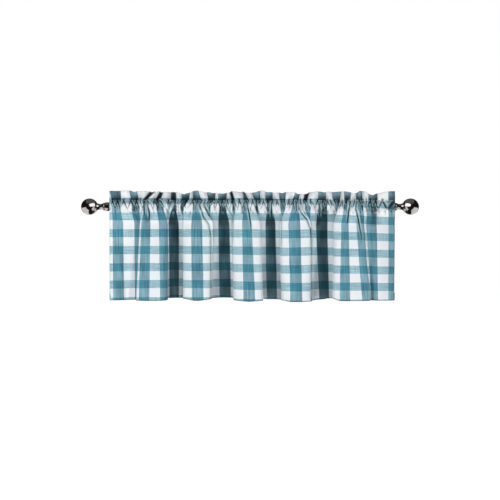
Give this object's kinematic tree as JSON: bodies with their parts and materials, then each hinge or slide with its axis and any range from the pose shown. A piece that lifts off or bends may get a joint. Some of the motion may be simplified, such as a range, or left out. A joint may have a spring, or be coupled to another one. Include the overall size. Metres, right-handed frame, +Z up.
{
  "type": "window valance on a curtain rod",
  "caption": "Gathered rod-pocket window valance in woven gingham check, hanging in soft folds from a round curtain rod with ball finials.",
  "frame": {"origin": "on the rod's axis, midway between the two finials, where wall brackets hold the rod", "axes": "+X along the rod to the right as seen from the front, -Y is the cloth's front, +Y the window side, +Z up"},
  "size_m": [1.117, 0.0814, 0.3599],
  "materials": {
    "gingham_cloth": "yarn-dyed woven gingham, teal blue and white, matt",
    "dark_nickel": "polished dark nickel plate"
  },
  "bodies": {
    "root": {"valance_panel": "gingham_cloth", "rod": "dark_nickel", "finial_ball_left": "dark_nickel", "finial_ball_right": "dark_nickel", "finial_neck_left": "dark_nickel", "finial_neck_right": "dark_nickel"}
  },
  "joints": []
}
